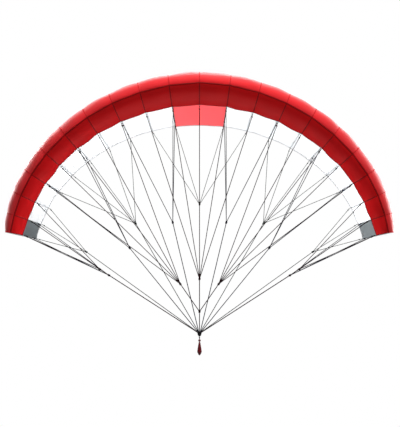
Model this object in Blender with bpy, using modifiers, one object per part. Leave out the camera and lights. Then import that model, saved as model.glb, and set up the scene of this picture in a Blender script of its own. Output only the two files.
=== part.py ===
"""Parawing: a small single-skin wing with an inflated nose, cloth ribs, line fans and a hand grip.

The wing stands as it flies. Its front faces -Y, its span runs along X and +Z is up. The origin is
the small flat end of the grip, the lowest point, under the middle of the wing. Metres throughout.
"""
import math

import bmesh
import bpy
from mathutils import Matrix, Vector

# The wing, laid flat: half its span, its cells, and how far each cell narrows towards the tip
HALF_SPAN = 1.500
CELLS_A_SIDE = 10
NARROWING_SQUARE = 0.22
NARROWING_FOURTH = 0.23

# The arch it flies in: how far it has turned over at the tip, as a straight and a cubic share
ARCH_TURN_DEG = 64.7
ARCH_TURN_CUBIC_DEG = 15.2
FRONT_SEAM_Y = -0.200
FRONT_SEAM_Z = 1.503

# The planform: chord, sweep of the front edge and washout, from the middle to the tip
CHORD_MIDDLE = 0.808
CHORD_TIP = 0.449
SWEEP_TIP = 0.291
PLAN_POWER = 1.4
WASHOUT_TIP_DEG = 1.6

# How much deeper a rib is than its chord alone gives: more towards the tip, until the last rib closes it
DEPTH_GAIN = 0.28
DEPTH_GAIN_POWER = 1.6
TIP_CLOSING = 0.28
TIP_CLOSING_POWER = 20

# The section, in shares of the chord
CROWN_FACTOR = 0.369
CROWN_FALL_POWER = 1.2
REAR_RISE = 0.0105
FRONT_TAB_AT = 0.197
FRONT_TAB_DROP = 0.0958
MIDDLE_TAB_AT = 0.47
BACK_TAB_AT = 0.74
RIB_END_AT = 0.985
NOSE_COLOUR_END = 0.20
NOSE_SEAM_SHARE = 8 / 90

# Cloth, seams and the swell of each cell, the swell in shares of the cell's width
CLOTH = 0.0012
RIB_CLOTH = 0.0010
GAP = 0.0003
SEAM_HALF_GAP = 0.00022
RIB_SEAM_HALF_GAP = 0.00035
EVEN_WALL_ALLOWANCE = 1.05
SWELL_FRONT = 0.030
SWELL_CROWN = 0.035
SWELL_UNDER = 0.020
STEPS_A_CELL = 4

# Ribs: line tabs, and how far the lower edge arches up between them
TAB_WIDTH = 0.009
TAB_LENGTH = 0.012
TAB_CLEARANCE = 0.0004
BRAKE_TAB_RISE = 0.004
REAR_DEPTH = 0.005
SCALLOP_SHORT = 0.50
SCALLOP_LONG = 0.62
SCALLOP_STEPS = 4

# Lines: diameters, and the knots where they gather
LINE = 0.0042
MAIN_LINE = 0.0048
BRAKE_LINE = 0.0036
STEM_FACTOR = 1.2
LINE_SIDES = 6
KNOT_LENGTH = 0.028
KNOT_WIDTH = 0.0120

# Gathering points: name, x, y, z. A name with a side is the right one and has its mirror image
KNOTS = {
    "front_middle": (0.000, -0.010, 0.417),
    "front_inner": (0.108, 0.000, 0.389),
    "front_join": (0.000, -0.004, 0.237),
    "front_outer": (0.581, 0.085, 0.473),
    "mid_1": (0.162, 0.155, 0.755),
    "mid_2": (0.420, 0.160, 0.601),
    "mid_3": (0.541, 0.165, 0.438),
    "brake_middle": (0.000, 0.370, 0.899),
    "brake_inner": (0.412, 0.350, 0.771),
    "brake_outer": (0.727, 0.360, 0.588),
}

# Where each main line meets the top of the sleeve: line, x, y
SLEEVE_SEATS = {
    "front_middle": (0.0000, -0.0080),
    "front_outer": (0.0096, -0.0064),
    "mid_1": (0.0038, -0.0034),
    "mid_2": (0.0073, 0.0004),
    "mid_3": (0.0121, 0.0021),
    "brake_middle": (0.0000, 0.0040),
    "brake_inner": (0.0045, 0.0068),
    "brake_outer": (0.0094, 0.0077),
}

# Sleeve, link, ball and drop-shaped grip, from the top down
SLEEVE_TOP = 0.1270
SLEEVE_BOTTOM = 0.1030
SLEEVE_TOP_RADIUS = 0.0150
SLEEVE_WAIST_RADIUS = 0.0100
SLEEVE_BOTTOM_RADIUS = 0.0050
LINK_RADIUS = 0.0018
LINK_KNOT_RADIUS = 0.0034
LINK_KNOT_Z = 0.0945
LINK_KNOT_HALF_LENGTH = 0.0035
BALL_RADIUS = 0.0070
BALL_Z = 0.0800
DROP_NECK_RADIUS = 0.0040
DROP_RADIUS = 0.0125
DROP_WIDEST_Z = 0.0210
DROP_FLAT_RADIUS = 0.0025
DROP_FLANK_POWER = 1.15
DROP_FOOT_POWER = 1.6
TURN_STEPS = 16
MERGE_DISTANCE = 0.0001


def start_clean():
    """Empty the scene and make the two collections that hold the parawing and its cutters."""
    for item in list(bpy.data.objects):
        bpy.data.objects.remove(item, do_unlink=True)
    parts = bpy.data.collections.new("parawing")
    cutters = bpy.data.collections.new("strands_to_join")
    bpy.context.scene.collection.children.link(parts)
    bpy.context.scene.collection.children.link(cutters)
    return parts, cutters


PARTS, CUTTERS = start_clean()


def finish_material(name, colour, roughness, metallic=0.0):
    """A Principled material with the piece's colour, roughness and metallic value."""
    material = bpy.data.materials.new(name)
    material.use_nodes = True
    shader = material.node_tree.nodes["Principled BSDF"]
    shader.inputs["Base Color"].default_value = (*colour, 1.0)
    shader.inputs["Roughness"].default_value = roughness
    shader.inputs["Metallic"].default_value = metallic
    material.diffuse_color = (*colour, 1.0)
    return material


RED_CLOTH = ("red_ripstop", (0.86, 0.045, 0.06), 0.45)
DARK_RED_CLOTH = ("dark_red_ripstop", (0.40, 0.01, 0.012), 0.55)
PALE_RED_CLOTH = ("pale_red_ripstop", (0.95, 0.14, 0.16), 0.5)
WHITE_CLOTH = ("white_ripstop", (0.9, 0.9, 0.92), 0.5)
GREY_CLOTH = ("grey_ripstop", (0.22, 0.24, 0.26), 0.5)
RIB_CLOTH_FINISH = ("rib_ripstop", (0.75, 0.75, 0.78), 0.55)
FRONT_LINE_FINISH = ("front_line_braid", (0.08, 0.03, 0.035), 0.6)
MID_LINE_FINISH = ("mid_line_braid", (0.05, 0.06, 0.10), 0.6)
BRAKE_LINE_FINISH = ("brake_line_braid", (0.12, 0.15, 0.13), 0.6)
SLEEVE_FINISH = ("sleeve_webbing", (0.02, 0.01, 0.012), 0.7)
GRIP_FINISH = ("grip_lacquer", (0.10, 0.003, 0.006), 0.25)


def add_part(name, mesh, finish):
    """Link a mesh or curve as one named object with its own material."""
    part = bpy.data.objects.new(name, mesh)
    mesh.materials.append(finish_material(name + "_" + finish[0], *finish[1:]))
    PARTS.objects.link(part)
    return part


# The arch and its ribs

def cell_widths():
    """Flat widths of the cells on one side, from the middle outwards."""
    shares = []
    for cell in range(CELLS_A_SIDE):
        out = (cell + 0.5) / CELLS_A_SIDE
        shares.append(1 - NARROWING_SQUARE * out ** 2 - NARROWING_FOURTH * out ** 4)
    return [HALF_SPAN * share / sum(shares) for share in shares]


def arch_lean(distance):
    """How far the arch has turned over at a distance along the span, in radians."""
    out = distance / HALF_SPAN
    return math.radians(ARCH_TURN_DEG * out + ARCH_TURN_CUBIC_DEG * out ** 3)


def walk_arch(distance, steps=200):
    """Sideways reach and drop of the arch at a distance along the span."""
    step = distance / steps
    reach = 0.0
    drop = 0.0
    for index in range(steps):
        lean = arch_lean((index + 0.5) * step)
        reach += math.cos(lean) * step
        drop += math.sin(lean) * step
    return reach, drop


class Rib:
    """One rib station: where it stands on the arch, how it leans, and its chord."""

    def __init__(self, number, distance):
        out = distance / HALF_SPAN
        side = -1 if number < 0 else 1
        reach, drop = walk_arch(distance) if distance else (0.0, 0.0)
        self.number = number
        self.chord = CHORD_MIDDLE + (CHORD_TIP - CHORD_MIDDLE) * out ** PLAN_POWER
        self.depth = 1 + DEPTH_GAIN * out ** DEPTH_GAIN_POWER - TIP_CLOSING * out ** TIP_CLOSING_POWER
        front = Vector((side * reach, FRONT_SEAM_Y + SWEEP_TIP * out ** PLAN_POWER, FRONT_SEAM_Z - drop))
        lean = side * arch_lean(distance)
        washout = math.radians(WASHOUT_TIP_DEG) * out ** 2
        self.up = Vector((math.sin(lean), 0, math.cos(lean)))
        back = Vector((0, 1, 0))
        self.across = back.cross(self.up)
        turned_back = back * math.cos(washout) - self.up * math.sin(washout)
        self.up = self.up * math.cos(washout) + back * math.sin(washout)
        self.back = turned_back
        self.front = front

    def place(self, back, up):
        """A point of the rib's plane, from metres behind and above the front seam before it is deepened."""
        return self.front + self.back * back + self.up * up * self.depth

    def matrix(self):
        """Local X runs back along the chord, local Y up, and local Z across the rib."""
        columns = Matrix((self.back, self.up * self.depth, self.across)).transposed().to_4x4()
        return Matrix.Translation(self.front) @ columns


def make_ribs():
    """All rib stations, keyed by number: 0 in the middle, negative on the left."""
    ribs = {0: Rib(0, 0.0)}
    distance = 0.0
    for number, width in enumerate(cell_widths(), start=1):
        distance += width
        ribs[number] = Rib(number, distance)
        ribs[-number] = Rib(-number, distance)
    return ribs


RIBS = make_ribs()
WIDTHS = cell_widths()


# The section. A girth value runs from -1 at the front tabs, round the nose at 0, to 1 at the rear edge

def section_point(girth):
    """A point of the skin's middle surface in shares of the chord."""
    if girth < 0:
        turn = -girth * math.pi / 2
        return Vector((FRONT_TAB_AT * (1 - math.cos(turn)), -FRONT_TAB_DROP * math.sin(turn)))
    back = girth * girth
    return Vector((back, CROWN_FACTOR * girth * (1 - back) ** CROWN_FALL_POWER + REAR_RISE * back))


def section_out(girth):
    """The outward direction of the section at a girth value."""
    before = max(girth - 0.004, -1.0)
    after = min(girth + 0.004, 1.0)
    along = (section_point(after) - section_point(before)).normalized()
    return Vector((-along.y, along.x))


def crown_height(back):
    """Height of the top skin above the chord line, at a share of the chord."""
    return section_point(math.sqrt(back)).y


def swell(girth):
    """How far a cell swells out between its ribs, as a share of its width."""
    if girth < 0:
        return SWELL_FRONT + (SWELL_FRONT - SWELL_UNDER) * girth
    return SWELL_FRONT + SWELL_CROWN * math.sin(math.pi * girth * girth)


# Girth values of the cloth's rows
NOSE_BACK = math.sqrt(NOSE_COLOUR_END)
NOSE_ROWS = [-NOSE_SEAM_SHARE] + [NOSE_BACK * share for share in (0.0, 0.12, 0.26, 0.42, 0.60, 0.80, 1.0)]
UNDER_ROWS = [-1.0, -0.74, -0.50, -0.30, -NOSE_SEAM_SHARE]
TOP_SHARES = (0.28, 0.37, 0.47, 0.56, 0.65, 0.74, 0.82, 0.90, 0.955, 1.0)
TOP_ROWS = [NOSE_BACK] + [math.sqrt(back) for back in TOP_SHARES]


def skin_point(cell, share, girth):
    """A point of the swollen skin: cell 0 is right of the middle and -1 left of it."""
    left = RIBS[cell]
    right = RIBS[cell + 1]
    section = section_point(girth)
    out = section_out(girth)
    width = WIDTHS[cell if cell >= 0 else -cell - 1]
    start = left.place(*(section * left.chord))
    end = right.place(*(section * right.chord))
    start_out = left.back * out.x + left.up * out.y
    end_out = right.back * out.x + right.up * out.y
    bulge = swell(girth) * width * 4 * share * (1 - share)
    return start.lerp(end, share) + (start_out + end_out).normalized() * bulge


def skin_panel(name, first_rib, last_rib, rows, sewn_front, sewn_back, finish):
    """A panel of skin over several cells, trimmed a little along each sewn edge."""
    last_row = len(rows) - 1
    front_reach = (section_point(rows[1]) - section_point(rows[0])).length / (rows[1] - rows[0])
    back_reach = (section_point(rows[-1]) - section_point(rows[-2])).length / (rows[-1] - rows[-2])
    columns = (last_rib - first_rib) * STEPS_A_CELL
    bm = bmesh.new()
    bmesh.ops.create_grid(bm, x_segments=columns, y_segments=last_row, size=1.0)
    for vertex in bm.verts:
        column = round((vertex.co.x + 1) / 2 * columns)
        row = round((vertex.co.y + 1) / 2 * last_row)
        cell = min(first_rib + column // STEPS_A_CELL, last_rib - 1)
        share = (column - (cell - first_rib) * STEPS_A_CELL) / STEPS_A_CELL
        width = WIDTHS[cell if cell >= 0 else -cell - 1]
        if column == 0 and first_rib > -CELLS_A_SIDE:
            share += RIB_SEAM_HALF_GAP / width
        if column == columns and last_rib < CELLS_A_SIDE:
            share -= RIB_SEAM_HALF_GAP / width
        chord = RIBS[cell].chord + (RIBS[cell + 1].chord - RIBS[cell].chord) * share
        girth = rows[row]
        if row == 0 and sewn_front:
            girth += SEAM_HALF_GAP / chord / front_reach
        if row == last_row and sewn_back:
            girth -= SEAM_HALF_GAP / chord / back_reach
        vertex.co = skin_point(cell, share, girth)
    bmesh.ops.recalc_face_normals(bm, faces=bm.faces)
    mesh = bpy.data.meshes.new(name)
    bm.to_mesh(mesh)
    bm.free()
    panel = add_part(name, mesh, finish)
    wall = panel.modifiers.new("cloth", "SOLIDIFY")
    wall.thickness = CLOTH
    wall.offset = 0.0
    wall.use_even_offset = True
    return panel


# The ribs' cloth

def inner_edge(chord, girth):
    """A point of a rib's edge, just inside the skin, in metres from the front seam."""
    clearance = CLOTH / 2 * EVEN_WALL_ALLOWANCE + GAP
    return section_point(girth) * chord - section_out(girth) * clearance


def scallop(chord, start, end, start_drop, end_drop, arch):
    """Points of the lower edge between two tabs, which it hangs from in a curve."""
    points = []
    for step in range(1, SCALLOP_STEPS + 1):
        share = step / (SCALLOP_STEPS + 1)
        back = start + (end - start) * share
        drop = (start_drop + (end_drop - start_drop) * share) * (1 - arch * 4 * share * (1 - share))
        points.append(Vector((back, crown_height(back / chord) * chord - drop)))
    return points


def tab_points(front, level):
    """The outline of a line tab that hangs from a level, from front to back."""
    low = level - TAB_LENGTH
    return [Vector((front, level)), Vector((front, low)),
            Vector((front + TAB_WIDTH, low)), Vector((front + TAB_WIDTH, level))]


def rib_tabs(rib):
    """Tabs of one rib: name, front edge and level in metres, in the rib's plane."""
    chord = rib.chord
    tabs = [("front", FRONT_TAB_AT * chord + TAB_CLEARANCE, -FRONT_TAB_DROP * chord)]
    if rib.number % 2 or abs(rib.number) == CELLS_A_SIDE:
        tabs.append(("middle", MIDDLE_TAB_AT * chord, 0.0))
        tabs.append(("back", BACK_TAB_AT * chord, 0.0))
    end = RIB_END_AT * chord
    level = inner_edge(chord, math.sqrt(RIB_END_AT)).y - BRAKE_TAB_RISE
    if rib.number:
        tabs.append(("brake", end - TAB_WIDTH, level))
    return tabs


def tab_foot(rib, tab_name):
    """The middle of a tab's lower edge, where a line is tied on."""
    for name, front, level in rib_tabs(rib):
        if name == tab_name:
            return rib.place(front + TAB_WIDTH / 2, level - TAB_LENGTH)
    raise ValueError("rib %d has no %s tab" % (rib.number, tab_name))


def rib_outline(rib):
    """The whole outline of a rib, from its nose over the top to the rear and back below."""
    chord = rib.chord
    girths = NOSE_ROWS[1:] + TOP_ROWS[1:-1]
    outline = [inner_edge(chord, girth) for girth in girths]
    end = inner_edge(chord, math.sqrt(RIB_END_AT))
    outline.append(end)
    tabs = rib_tabs(rib)
    lower = []
    for place, (_, front, level) in enumerate(tabs):
        if place:
            last_front, last_level = tabs[place - 1][1:]
            start = last_front + TAB_WIDTH
            arch = SCALLOP_SHORT if len(tabs) > 2 else SCALLOP_LONG
            start_drop = crown_height(start / chord) * chord - last_level
            end_drop = crown_height(front / chord) * chord - level
            lower += scallop(chord, start, front, start_drop, end_drop, arch)
        lower += tab_points(front, level)
    if tabs[-1][0] != "brake":
        start = tabs[-1][1] + TAB_WIDTH
        start_drop = crown_height(start / chord) * chord - tabs[-1][2]
        lower += scallop(chord, start, end.x, start_drop, REAR_DEPTH, SCALLOP_LONG)
        lower.append(end - Vector((0, REAR_DEPTH)))
    corner = inner_edge(chord, -1.0) + Vector((TAB_CLEARANCE, 0))
    under = [inner_edge(chord, girth) for girth in UNDER_ROWS[1:]]
    return outline + list(reversed(lower)) + [corner] + under


def rib_name(number):
    """A rib's node name from its number."""
    if number == 0:
        return "rib_middle"
    return "rib_%s_%02d" % ("right" if number > 0 else "left", abs(number))


def make_rib(rib):
    """One rib, a flat cut of cloth that stands across the skin."""
    name = rib_name(rib.number)
    curve = bpy.data.curves.new(name, "CURVE")
    curve.dimensions = "2D"
    curve.fill_mode = "BOTH"
    curve.extrude = RIB_CLOTH / 2
    outline = rib_outline(rib)
    spline = curve.splines.new("POLY")
    spline.points.add(len(outline) - 1)
    for point, place in zip(spline.points, outline):
        point.co = (place.x, place.y, 0, 1)
    spline.use_cyclic_u = True
    part = add_part(name, curve, RIB_CLOTH_FINISH)
    part.matrix_world = rib.matrix()
    return part


# The lines

def mirrored(point, side):
    """A point given for the right side, on the side asked for."""
    return Vector((point[0] * side, point[1], point[2]))


def turn_to(direction):
    """The turn that takes +Z to a direction."""
    return direction.to_track_quat("Z", "Y").to_matrix().to_4x4()


def strand_mesh(start, end, diameter):
    """A straight, taut line as a closed tube between two points."""
    along = end - start
    bm = bmesh.new()
    bmesh.ops.create_cone(bm, cap_ends=True, segments=LINE_SIDES, radius1=diameter / 2,
                          radius2=diameter / 2, depth=along.length)
    bm.transform(Matrix.Translation((start + end) / 2) @ turn_to(along))
    mesh = bpy.data.meshes.new("strand")
    bm.to_mesh(mesh)
    bm.free()
    return mesh


def knot_mesh(centre, along):
    """A small drawn-out knot where lines gather."""
    bm = bmesh.new()
    bmesh.ops.create_uvsphere(bm, u_segments=8, v_segments=6, radius=0.5)
    shape = Matrix.Diagonal((KNOT_WIDTH, KNOT_WIDTH, KNOT_LENGTH, 1))
    bm.transform(Matrix.Translation(centre) @ turn_to(along) @ shape)
    mesh = bpy.data.meshes.new("knot")
    bm.to_mesh(mesh)
    bm.free()
    return mesh


def cut_short(inside, foot, face_out, diameter):
    """End of a line that stops just short of a small face, whatever angle it comes at."""
    along = (inside - foot).normalized()
    slope = abs(along.dot(face_out))
    side = math.sqrt(max(0.0, 1 - slope * slope))
    return foot + along * (GAP + diameter / 2 * side) / slope


def to_tab(knot, number, tab_name, diameter):
    """A line from a knot up to a rib's tab."""
    rib = RIBS[number]
    return strand_mesh(knot, cut_short(knot, tab_foot(rib, tab_name), rib.up, diameter), diameter)


def to_sleeve(knot, seat, side, diameter):
    """A main line from a knot down to its seat on the sleeve."""
    foot = Vector((seat[0] * side, seat[1], SLEEVE_TOP))
    return strand_mesh(knot, cut_short(knot, foot, Vector((0, 0, 1)), diameter), diameter)


def fan(name, knots, strands, finish):
    """One fan of lines: its knots and strands joined into a single body."""
    body = add_part(name, knots[0], finish)
    group = bpy.data.collections.new(name + "_strands")
    CUTTERS.children.link(group)
    for mesh in knots[1:] + strands:
        piece = bpy.data.objects.new(name + "_strand", mesh)
        piece.hide_render = True
        piece.display_type = "WIRE"
        group.objects.link(piece)
    join = body.modifiers.new("join", "BOOLEAN")
    join.operation = "UNION"
    join.operand_type = "COLLECTION"
    join.collection = group
    join.solver = "EXACT"
    return body


def make_front_middle():
    """Front lines of the middle fifteen ribs, which meet on the centre line."""
    middle = Vector(KNOTS["front_middle"])
    join = Vector(KNOTS["front_join"])
    knots = [knot_mesh(middle, join - middle), knot_mesh(join, middle - join)]
    strands = [strand_mesh(middle, join, MAIN_LINE),
               to_sleeve(join, SLEEVE_SEATS["front_middle"], 1, MAIN_LINE)]
    strands += [to_tab(middle, number, "front", LINE) for number in (-2, -1, 0, 1, 2)]
    for side in (1, -1):
        inner = mirrored(KNOTS["front_inner"], side)
        knots.append(knot_mesh(inner, join - inner))
        strands.append(strand_mesh(inner, join, MAIN_LINE))
        strands += [to_tab(inner, side * number, "front", LINE) for number in (3, 4, 5, 6, 7)]
    return fan("front_lines_middle", knots, strands, FRONT_LINE_FINISH)


def make_side_fan(knot_name, node_name, side, ties, diameter, finish):
    """One fan of one side: knot, its ties as rib number and tab, and the main line to the sleeve."""
    knot = mirrored(KNOTS[knot_name], side)
    main = min(MAIN_LINE, diameter * STEM_FACTOR)
    strands = [to_sleeve(knot, SLEEVE_SEATS[knot_name], side, main)]
    strands += [to_tab(knot, side * number, tab, diameter) for number, tab in ties]
    toward = Vector((0, 0, SLEEVE_TOP)) - knot
    return fan(node_name, [knot_mesh(knot, toward)], strands, finish)


# Knot, node, the ribs and tabs tied to it, line and finish of each fan that has one on either side
SIDE_FANS = (
    ("front_outer", "front_lines_outer", ((8, "front"), (9, "front"), (10, "front")),
     LINE, FRONT_LINE_FINISH),
    ("mid_1", "mid_lines_1", ((1, "middle"), (1, "back"), (3, "middle"), (3, "back")),
     LINE, MID_LINE_FINISH),
    ("mid_2", "mid_lines_2", ((5, "middle"), (5, "back"), (7, "middle"), (7, "back")),
     LINE, MID_LINE_FINISH),
    ("mid_3", "mid_lines_3", ((9, "middle"), (9, "back"), (10, "middle"), (10, "back")),
     LINE, MID_LINE_FINISH),
    ("brake_inner", "brake_lines_inner", tuple((number, "brake") for number in (3, 4, 5, 6, 7)),
     BRAKE_LINE, BRAKE_LINE_FINISH),
    ("brake_outer", "brake_lines_outer", tuple((number, "brake") for number in (8, 9, 10)),
     BRAKE_LINE, BRAKE_LINE_FINISH),
)


def make_brake_middle():
    """Brake lines of the four middle cells."""
    knot = Vector(KNOTS["brake_middle"])
    strands = [to_sleeve(knot, SLEEVE_SEATS["brake_middle"], 1, BRAKE_LINE * STEM_FACTOR)]
    strands += [to_tab(knot, number, "brake", BRAKE_LINE) for number in (-2, -1, 1, 2)]
    toward = Vector((0, 0, SLEEVE_TOP)) - knot
    return fan("brake_lines_middle", [knot_mesh(knot, toward)], strands, BRAKE_LINE_FINISH)


# Sleeve, link, ball and grip

def turned(name, profile, finish):
    """A turned piece from a profile of radius and height, given from the top down."""
    bm = bmesh.new()
    corners = [bm.verts.new((radius, 0, height)) for radius, height in profile]
    for upper, lower in zip(corners, corners[1:]):
        bm.edges.new((upper, lower))
    mesh = bpy.data.meshes.new(name)
    bm.to_mesh(mesh)
    bm.free()
    part = add_part(name, mesh, finish)
    screw = part.modifiers.new("turn", "SCREW")
    screw.steps = TURN_STEPS
    screw.render_steps = TURN_STEPS
    screw.use_merge_vertices = True
    screw.merge_threshold = MERGE_DISTANCE
    return part


def make_sleeve():
    """The webbing sleeve that holds every main line, narrowing to the link."""
    waist = SLEEVE_BOTTOM + 0.45 * (SLEEVE_TOP - SLEEVE_BOTTOM)
    profile = [(0, SLEEVE_TOP), (SLEEVE_TOP_RADIUS, SLEEVE_TOP), (SLEEVE_WAIST_RADIUS, waist),
               (SLEEVE_BOTTOM_RADIUS, SLEEVE_BOTTOM), (0, SLEEVE_BOTTOM)]
    return turned("line_sleeve", profile, SLEEVE_FINISH)


def make_link():
    """The short cord between the sleeve and the ball, with a stopper knot halfway."""
    top = SLEEVE_BOTTOM - GAP
    bottom = BALL_Z + BALL_RADIUS + GAP
    profile = [(0, top), (LINK_RADIUS, top)]
    knot_steps = 6
    for step in range(knot_steps + 1):
        turn = math.pi * step / knot_steps
        profile.append((LINK_RADIUS + (LINK_KNOT_RADIUS - LINK_RADIUS) * math.sin(turn),
                        LINK_KNOT_Z + LINK_KNOT_HALF_LENGTH * math.cos(turn)))
    profile += [(LINK_RADIUS, bottom), (0, bottom)]
    return turned("grip_link", profile, SLEEVE_FINISH)


def make_ball():
    """The small ball above the grip."""
    steps = 8
    profile = []
    for step in range(steps + 1):
        turn = math.pi * step / steps
        profile.append((BALL_RADIUS * math.sin(turn), BALL_Z + BALL_RADIUS * math.cos(turn)))
    profile[0] = (0, BALL_Z + BALL_RADIUS)
    profile[-1] = (0, BALL_Z - BALL_RADIUS)
    return turned("grip_ball", profile, GRIP_FINISH)


def make_drop():
    """The drop-shaped grip: a long flank that widens downwards, and a blunt point with a small flat."""
    neck = BALL_Z - BALL_RADIUS - GAP
    profile = [(0, neck), (DROP_NECK_RADIUS, neck)]
    flank_steps = 7
    for step in range(1, flank_steps + 1):
        share = step / flank_steps
        widening = 1 - (1 - share) ** DROP_FLANK_POWER
        profile.append((DROP_NECK_RADIUS + (DROP_RADIUS - DROP_NECK_RADIUS) * widening,
                        neck + (DROP_WIDEST_Z - neck) * share))
    foot_steps = 6
    for step in range(1, foot_steps + 1):
        share = step / foot_steps
        narrowing = 1 - share ** DROP_FOOT_POWER
        profile.append((DROP_FLAT_RADIUS + (DROP_RADIUS - DROP_FLAT_RADIUS) * narrowing,
                        DROP_WIDEST_Z * (1 - share)))
    profile.append((0, 0))
    return turned("grip_drop", profile, GRIP_FINISH)


# The parawing, put together

skin_panel("nose_skin_right", 0, CELLS_A_SIDE, NOSE_ROWS, True, True, RED_CLOTH)
skin_panel("nose_skin_left", -CELLS_A_SIDE, 0, NOSE_ROWS, True, True, RED_CLOTH)
skin_panel("nose_underside_right", 0, CELLS_A_SIDE, UNDER_ROWS, False, True, DARK_RED_CLOTH)
skin_panel("nose_underside_left", -CELLS_A_SIDE, 0, UNDER_ROWS, False, True, DARK_RED_CLOTH)
skin_panel("centre_panel", -1, 1, TOP_ROWS, True, False, PALE_RED_CLOTH)
skin_panel("white_panel_right", 1, CELLS_A_SIDE - 1, TOP_ROWS, True, False, WHITE_CLOTH)
skin_panel("white_panel_left", 1 - CELLS_A_SIDE, -1, TOP_ROWS, True, False, WHITE_CLOTH)
skin_panel("tip_panel_right", CELLS_A_SIDE - 1, CELLS_A_SIDE, TOP_ROWS, True, False, GREY_CLOTH)
skin_panel("tip_panel_left", -CELLS_A_SIDE, 1 - CELLS_A_SIDE, TOP_ROWS, True, False, GREY_CLOTH)
for station in RIBS.values():
    make_rib(station)
make_front_middle()
make_brake_middle()
for knot_key, node_key, tie_list, width_key, finish_key in SIDE_FANS:
    make_side_fan(knot_key, node_key + "_right", 1, tie_list, width_key, finish_key)
    make_side_fan(knot_key, node_key + "_left", -1, tie_list, width_key, finish_key)
make_sleeve()
make_link()
make_ball()
make_drop()
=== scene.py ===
"""A small single-skin parawing in flight: ribs, skin, seams, lines and hand grip, in the order it is sewn.

Metres throughout. The wing's front faces -Y, its span runs along X and +Z is up. The origin is the
flat lower end of the grip, under the middle of the wing.
"""
import math

import bmesh
import bpy
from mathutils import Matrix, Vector, noise


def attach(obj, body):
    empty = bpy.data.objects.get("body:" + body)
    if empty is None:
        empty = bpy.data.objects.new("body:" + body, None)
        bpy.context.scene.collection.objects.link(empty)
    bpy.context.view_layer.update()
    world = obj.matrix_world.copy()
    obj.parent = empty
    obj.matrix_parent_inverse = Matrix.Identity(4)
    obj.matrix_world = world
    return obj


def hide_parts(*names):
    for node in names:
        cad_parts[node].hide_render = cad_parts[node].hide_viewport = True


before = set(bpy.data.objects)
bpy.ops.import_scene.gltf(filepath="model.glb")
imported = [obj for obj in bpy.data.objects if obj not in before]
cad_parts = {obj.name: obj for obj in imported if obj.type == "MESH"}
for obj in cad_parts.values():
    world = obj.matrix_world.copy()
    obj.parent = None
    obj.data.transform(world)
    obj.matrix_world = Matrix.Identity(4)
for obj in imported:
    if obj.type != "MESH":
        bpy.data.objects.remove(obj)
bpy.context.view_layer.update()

# Ribs: 21 upright cuts of pale ripstop, one at each seam between the cells.
# They set the arch and the section of the whole wing, and the line tabs are part of their cloth.
# Each is scalloped below between its tabs, and stands taut between skin and lines.
HALF_SPAN = 1.500
CELLS_A_SIDE = 10
NARROWING_SQUARE = 0.22
NARROWING_FOURTH = 0.23
ARCH_TURN_DEG = 64.7
ARCH_TURN_CUBIC_DEG = 15.2
FRONT_SEAM_Y = -0.200
FRONT_SEAM_Z = 1.503
CHORD_MIDDLE = 0.808
CHORD_TIP = 0.449
SWEEP_TIP = 0.291
PLAN_POWER = 1.4
WASHOUT_TIP_DEG = 1.6
DEPTH_GAIN = 0.28
DEPTH_GAIN_POWER = 1.6
TIP_CLOSING = 0.28
TIP_CLOSING_POWER = 20
CROWN_FACTOR = 0.369
CROWN_FALL_POWER = 1.2
REAR_RISE = 0.0105
FRONT_TAB_AT = 0.197
FRONT_TAB_DROP = 0.0958
MIDDLE_TAB_AT = 0.47
BACK_TAB_AT = 0.74
RIB_END_AT = 0.985
TAB_WIDTH = 0.009
TAB_LENGTH = 0.012
BRAKE_TAB_RISE = 0.004
REAR_DEPTH = 0.005
SCALLOP_SHORT = 0.50
SCALLOP_LONG = 0.62
SCALLOP_STEPS = 22
NOSE_STEPS = 16
RIB_ROWS = 10
RIB_CLOTH = 0.0006
RIB_CLEARANCE = 0.0008
RIB_WAVE = 0.0030
RIB_WAVE_LENGTH = 0.11
RIB_WAVE_START = 0.05
RIB_SEED = 1.7
SLOPE_STEP = 0.004


def cell_widths():
    """Flat widths of the cells on one side, from the middle outwards."""
    shares = []
    for cell in range(CELLS_A_SIDE):
        out = (cell + 0.5) / CELLS_A_SIDE
        shares.append(1 - NARROWING_SQUARE * out ** 2 - NARROWING_FOURTH * out ** 4)
    return [HALF_SPAN * share / sum(shares) for share in shares]


def arch_lean(distance):
    """How far the arch has turned over at a distance along the span, in radians."""
    out = distance / HALF_SPAN
    return math.radians(ARCH_TURN_DEG * out + ARCH_TURN_CUBIC_DEG * out ** 3)


def walk_arch(distance, steps=200):
    """Sideways reach and drop of the arch at a distance along the span."""
    step = distance / steps
    leans = [arch_lean((index + 0.5) * step) for index in range(steps)]
    return sum(map(math.cos, leans)) * step, sum(map(math.sin, leans)) * step


class Rib:
    """One rib station: where it stands on the arch, how it leans, and its chord."""

    def __init__(self, number, distance):
        out = distance / HALF_SPAN
        side = -1 if number < 0 else 1
        reach, drop = walk_arch(distance) if distance else (0.0, 0.0)
        lean = side * arch_lean(distance)
        washout = math.radians(WASHOUT_TIP_DEG) * out ** 2
        up = Vector((math.sin(lean), 0, math.cos(lean)))
        back = Vector((0, 1, 0))
        sweep = SWEEP_TIP * out ** PLAN_POWER
        self.number = number
        self.distance = side * distance
        self.chord = CHORD_MIDDLE + (CHORD_TIP - CHORD_MIDDLE) * out ** PLAN_POWER
        self.depth = 1 + DEPTH_GAIN * out ** DEPTH_GAIN_POWER - TIP_CLOSING * out ** TIP_CLOSING_POWER
        self.front = Vector((side * reach, FRONT_SEAM_Y + sweep, FRONT_SEAM_Z - drop))
        self.across = back.cross(up)
        self.back = back * math.cos(washout) - up * math.sin(washout)
        self.up = up * math.cos(washout) + back * math.sin(washout)
        self.name = "middle" if number == 0 else "%s_%02d" % ("right" if number > 0 else "left", abs(number))

    def place(self, back, up, aside=0.0):
        """A point by metres behind and above the front seam, before the rib deepens, and to its right."""
        return self.front + self.back * back + self.up * up * self.depth + self.across * aside


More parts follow.
